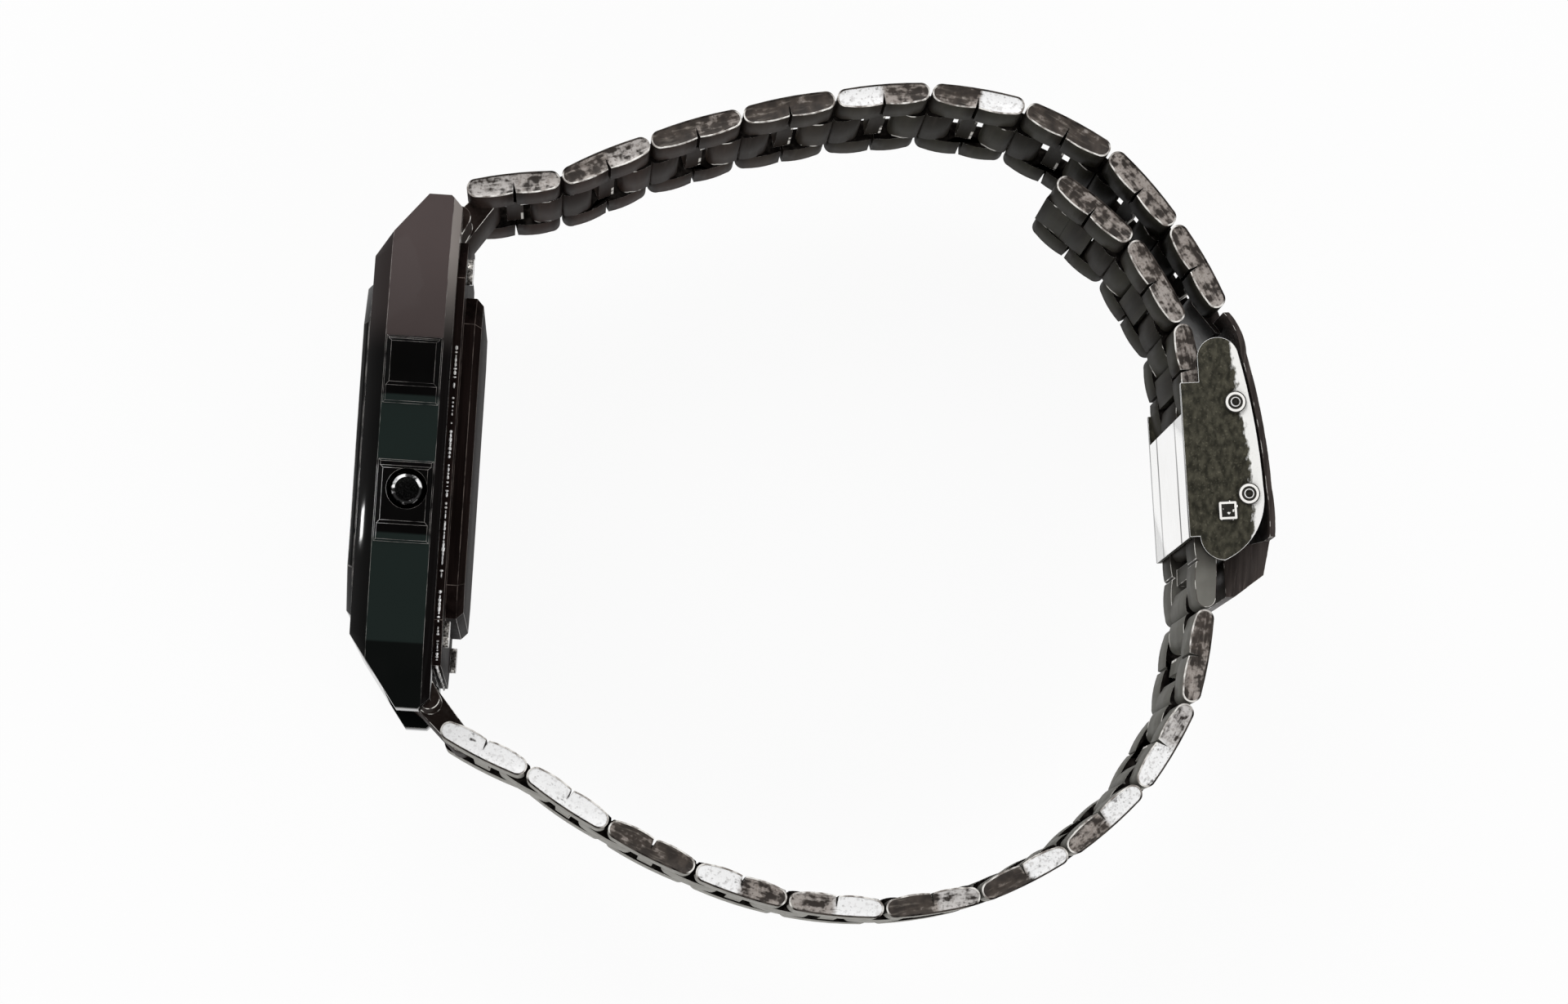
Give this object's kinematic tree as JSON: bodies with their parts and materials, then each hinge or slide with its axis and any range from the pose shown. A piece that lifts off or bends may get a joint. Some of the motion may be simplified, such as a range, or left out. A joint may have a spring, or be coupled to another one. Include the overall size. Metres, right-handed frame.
{
  "type": "digital wristwatch",
  "caption": "Small faceted digital watch on a bracelet of folded sheet links, with push buttons, a screwed back cover and a hinged sliding clasp.",
  "frame": {"origin": "middle of the back cover's outer face, where the watch rests on the wrist", "axes": "+X out of the case back towards the clasp; +Y towards 12 o'clock; +Z towards 3 o'clock, so the watch lies on its 9 o'clock side"},
  "size_m": [0.0662, 0.0607, 0.0334],
  "materials": {
    "case_resin": "gloss with a smoky metallic sheen",
    "bezel_gloss": "high gloss",
    "crystal_clear": "clear moulded",
    "seal_rubber": "matt",
    "dial_print": "printed matt",
    "display_glass": "satin polariser",
    "backlight_film": "matt film",
    "board_green": "solder mask",
    "module_plastic": "moulded matt",
    "cell_steel": "brushed",
    "sounder_brass": "brushed",
    "back_steel": "dark plated satin",
    "screw_steel": "dark plated",
    "pin_steel": "drawn",
    "clasp_steel": "brushed with bright edges",
    "button_steel": "dark chrome",
    "link_steel": "satin faces, speckled stamped edges"
  },
  "bodies": {
    "head": {"adjust_button_spring": "pin_steel", "back_cover": "back_steel", "back_gasket": "seal_rubber", "back_screws": "screw_steel", "backlight_panel": "backlight_film", "battery_cell": "cell_steel", "button_seals": "seal_rubber", "case_body": "case_resin", "cell_holder": "module_plastic", "cell_strap": "cell_steel", "circuit_board": "board_green", "contact_strips": "seal_rubber", "crystal": "crystal_clear", "crystal_gasket": "seal_rubber", "dial_plate": "dial_print", "display_panel": "display_glass", "front_bezel": "bezel_gloss", "light_button_spring": "pin_steel", "lower_spring_bar": "pin_steel", "mode_button_spring": "pin_steel", "module_frame": "module_plastic", "sounder_disc": "sounder_brass", "upper_spring_bar": "pin_steel"},
    "upper_end_piece": {"upper_end_piece": "link_steel"},
    "upper_link_1": {"upper_link_1": "link_steel"},
    "upper_link_2": {"upper_link_2": "link_steel"},
    "upper_link_3": {"upper_link_3": "link_steel"},
    "upper_link_4": {"upper_link_4": "link_steel"},
    "upper_link_5": {"upper_link_5": "link_steel"},
    "upper_link_6": {"upper_link_6": "link_steel"},
    "upper_link_7": {"upper_link_7": "link_steel"},
    "upper_link_8": {"upper_link_8": "link_steel"},
    "upper_link_9": {"upper_link_9": "link_steel", "clasp_hinge_pin": "pin_steel"},
    "clasp_cover": {"clasp_cover": "clasp_steel"},
    "lower_end_piece": {"lower_end_piece": "link_steel"},
    "lower_link_1": {"lower_link_1": "link_steel"},
    "lower_link_2": {"lower_link_2": "link_steel"},
    "lower_link_3": {"lower_link_3": "link_steel"},
    "lower_link_4": {"lower_link_4": "link_steel"},
    "lower_link_5": {"lower_link_5": "link_steel"},
    "lower_link_6": {"lower_link_6": "link_steel"},
    "lower_link_7": {"lower_link_7": "link_steel"},
    "lower_link_8": {"lower_link_8": "link_steel"},
    "lower_link_9": {"lower_link_9": "link_steel"},
    "lower_link_10": {"lower_link_10": "link_steel"},
    "clasp_frame": {"clasp_frame": "clasp_steel", "clasp_bars": "clasp_steel", "held_links": "link_steel"},
    "lock_plate": {"lock_plate": "clasp_steel"},
    "tail_link_1": {"tail_link_1": "link_steel"},
    "tail_link_2": {"tail_link_2": "link_steel"},
    "tail_link_3": {"tail_link_3": "link_steel"},
    "light_button": {"light_button": "button_steel", "light_button_clip": "pin_steel"},
    "mode_button": {"mode_button": "button_steel", "mode_button_clip": "pin_steel"},
    "adjust_button": {"adjust_button": "button_steel", "adjust_button_clip": "pin_steel"}
  },
  "joints": [
    {"name": "upper_end_hinge", "type": "hinge", "parent": "head", "child": "upper_end_piece", "pos_m": [-0.0029, 0.0165, 0], "axis": [0, 0, 1], "range_deg": [0, 8]},
    {"name": "upper_link_1_hinge", "type": "hinge", "parent": "upper_end_piece", "child": "upper_link_1", "pos_m": [-0.00034, 0.01977, 0], "axis": [0, 0, 1], "range_deg": [0, 8]},
    {"name": "upper_link_2_hinge", "type": "hinge", "parent": "upper_link_1", "child": "upper_link_2", "pos_m": [0.00639, 0.02141, 0], "axis": [0, 0, 1], "range_deg": [0, 8]},
    {"name": "upper_link_3_hinge", "type": "hinge", "parent": "upper_link_2", "child": "upper_link_3", "pos_m": [0.01268, 0.02435, 0], "axis": [0, 0, 1], "range_deg": [0, 8]},
    {"name": "upper_link_4_hinge", "type": "hinge", "parent": "upper_link_3", "child": "upper_link_4", "pos_m": [0.01926, 0.02659, 0], "axis": [0, 0, 1], "range_deg": [0, 8]},
    {"name": "upper_link_5_hinge", "type": "hinge", "parent": "upper_link_4", "child": "upper_link_5", "pos_m": [0.02603, 0.02817, 0], "axis": [0, 0, 1], "range_deg": [0, 8]},
    {"name": "upper_link_6_hinge", "type": "hinge", "parent": "upper_link_5", "child": "upper_link_6", "pos_m": [0.03293, 0.02881, 0], "axis": [0, 0, 1], "range_deg": [0, 8]},
    {"name": "upper_link_7_hinge", "type": "hinge", "parent": "upper_link_6", "child": "upper_link_7", "pos_m": [0.03975, 0.02759, 0], "axis": [0, 0, 1], "range_deg": [0, 8]},
    {"name": "upper_link_8_hinge", "type": "hinge", "parent": "upper_link_7", "child": "upper_link_8", "pos_m": [0.04579, 0.0242, 0], "axis": [0, 0, 1], "range_deg": [0, 8]},
    {"name": "upper_link_9_hinge", "type": "hinge", "parent": "upper_link_8", "child": "upper_link_9", "pos_m": [0.05038, 0.019, 0], "axis": [0, 0, 1], "range_deg": [0, 8]},
    {"name": "clasp_cover_hinge", "type": "hinge", "parent": "upper_link_9", "child": "clasp_cover", "pos_m": [0.05245, 0.01575, 0], "axis": [0, 0, 1], "range_deg": [0, 120]},
    {"name": "lower_end_hinge", "type": "hinge", "parent": "head", "child": "lower_end_piece", "pos_m": [-0.0029, -0.0165, 0], "axis": [0, 0, 1], "range_deg": [-4.8, 0]},
    {"name": "lower_link_1_hinge", "type": "hinge", "parent": "lower_end_piece", "child": "lower_link_1", "pos_m": [0.0003, -0.01994, 0], "axis": [0, 0, 1], "range_deg": [-4.8, 0]},
    {"name": "lower_link_2_hinge", "type": "hinge", "parent": "lower_link_1", "child": "lower_link_2", "pos_m": [0.0066, -0.02288, 0], "axis": [0, 0, 1], "range_deg": [-4.8, 0]},
    {"name": "lower_link_3_hinge", "type": "hinge", "parent": "lower_link_2", "child": "lower_link_3", "pos_m": [0.01268, -0.02624, 0], "axis": [0, 0, 1], "range_deg": [-4.8, 0]},
    {"name": "lower_link_4_hinge", "type": "hinge", "parent": "lower_link_3", "child": "lower_link_4", "pos_m": [0.01913, -0.0288, 0], "axis": [0, 0, 1], "range_deg": [-4.8, 0]},
    {"name": "lower_link_5_hinge", "type": "hinge", "parent": "lower_link_4", "child": "lower_link_5", "pos_m": [0.02592, -0.03025, 0], "axis": [0, 0, 1], "range_deg": [-4.8, 0]},
    {"name": "lower_link_6_hinge", "type": "hinge", "parent": "lower_link_5", "child": "lower_link_6", "pos_m": [0.03286, -0.03012, 0], "axis": [0, 0, 1], "range_deg": [-4.8, 0]},
    {"name": "lower_link_7_hinge", "type": "hinge", "parent": "lower_link_6", "child": "lower_link_7", "pos_m": [0.03952, -0.02821, 0], "axis": [0, 0, 1], "range_deg": [-4.8, 0]},
    {"name": "lower_link_8_hinge", "type": "hinge", "parent": "lower_link_7", "child": "lower_link_8", "pos_m": [0.04532, -0.0244, 0], "axis": [0, 0, 1], "range_deg": [-4.8, 0]},
    {"name": "lower_link_9_hinge", "type": "hinge", "parent": "lower_link_8", "child": "lower_link_9", "pos_m": [0.04991, -0.01921, 0], "axis": [0, 0, 1], "range_deg": [-4.8, 0]},
    {"name": "lower_link_10_hinge", "type": "hinge", "parent": "lower_link_9", "child": "lower_link_10", "pos_m": [0.0526, -0.01284, 0], "axis": [0, 0, 1], "range_deg": [-4.8, 0]},
    {"name": "clasp_frame_hinge", "type": "hinge", "parent": "lower_link_10", "child": "clasp_frame", "pos_m": [0.05316, -0.00592, 0], "axis": [0, 0, 1], "range_deg": [-4.8, 0]},
    {"name": "lock_plate_hinge", "type": "hinge", "parent": "clasp_frame", "child": "lock_plate", "pos_m": [0.05453, 0.00752, 0], "axis": [0, 0, 1], "range_deg": [0, 18]},
    {"name": "tail_link_1_hinge", "type": "hinge", "parent": "clasp_frame", "child": "tail_link_1", "pos_m": [0.05164, 0.00789, 0], "axis": [0, 0, 1], "range_deg": [0, 20]},
    {"name": "tail_link_2_hinge", "type": "hinge", "parent": "tail_link_1", "child": "tail_link_2", "pos_m": [0.04954, 0.01448, 0], "axis": [0, 0, 1], "range_deg": [0, 20]},
    {"name": "tail_link_3_hinge", "type": "hinge", "parent": "tail_link_2", "child": "tail_link_3", "pos_m": [0.04525, 0.01992, 0], "axis": [0, 0, 1], "range_deg": [0, 20]},
    {"name": "light_button_press", "type": "slide", "parent": "head", "child": "light_button", "axis": [0, 0, -1], "range_m": [0, 0.0004], "stiffness_N_per_m": 2500, "springref_m": -0.0002, "deforming": ["light_button_spring"]},
    {"name": "mode_button_press", "type": "slide", "parent": "head", "child": "mode_button", "axis": [0, 0, 1], "range_m": [0, 0.0004], "stiffness_N_per_m": 2500, "springref_m": -0.0002, "deforming": ["mode_button_spring"]},
    {"name": "adjust_button_press", "type": "slide", "parent": "head", "child": "adjust_button", "axis": [0, 0, 1], "range_m": [0, 0.0004], "stiffness_N_per_m": 2500, "springref_m": -0.0002, "deforming": ["adjust_button_spring"]}
  ],
  "couplings": [
    {"joint": "upper_link_1_hinge", "follows": "upper_end_hinge", "ratio": 1},
    {"joint": "upper_link_2_hinge", "follows": "upper_end_hinge", "ratio": 1},
    {"joint": "upper_link_3_hinge", "follows": "upper_end_hinge", "ratio": 1},
    {"joint": "upper_link_4_hinge", "follows": "upper_end_hinge", "ratio": 1},
    {"joint": "upper_link_5_hinge", "follows": "upper_end_hinge", "ratio": 1},
    {"joint": "upper_link_6_hinge", "follows": "upper_end_hinge", "ratio": 1},
    {"joint": "upper_link_7_hinge", "follows": "upper_end_hinge", "ratio": 1},
    {"joint": "upper_link_8_hinge", "follows": "upper_end_hinge", "ratio": 1},
    {"joint": "upper_link_9_hinge", "follows": "upper_end_hinge", "ratio": 1},
    {"joint": "clasp_cover_hinge", "follows": "upper_end_hinge", "ratio": 15},
    {"joint": "lower_end_hinge", "follows": "upper_end_hinge", "ratio": -0.6},
    {"joint": "lower_link_1_hinge", "follows": "upper_end_hinge", "ratio": -0.6},
    {"joint": "lower_link_2_hinge", "follows": "upper_end_hinge", "ratio": -0.6},
    {"joint": "lower_link_3_hinge", "follows": "upper_end_hinge", "ratio": -0.6},
    {"joint": "lower_link_4_hinge", "follows": "upper_end_hinge", "ratio": -0.6},
    {"joint": "lower_link_5_hinge", "follows": "upper_end_hinge", "ratio": -0.6},
    {"joint": "lower_link_6_hinge", "follows": "upper_end_hinge", "ratio": -0.6},
    {"joint": "lower_link_7_hinge", "follows": "upper_end_hinge", "ratio": -0.6},
    {"joint": "lower_link_8_hinge", "follows": "upper_end_hinge", "ratio": -0.6},
    {"joint": "lower_link_9_hinge", "follows": "upper_end_hinge", "ratio": -0.6},
    {"joint": "lower_link_10_hinge", "follows": "upper_end_hinge", "ratio": -0.6},
    {"joint": "clasp_frame_hinge", "follows": "upper_end_hinge", "ratio": -0.6}
  ]
}
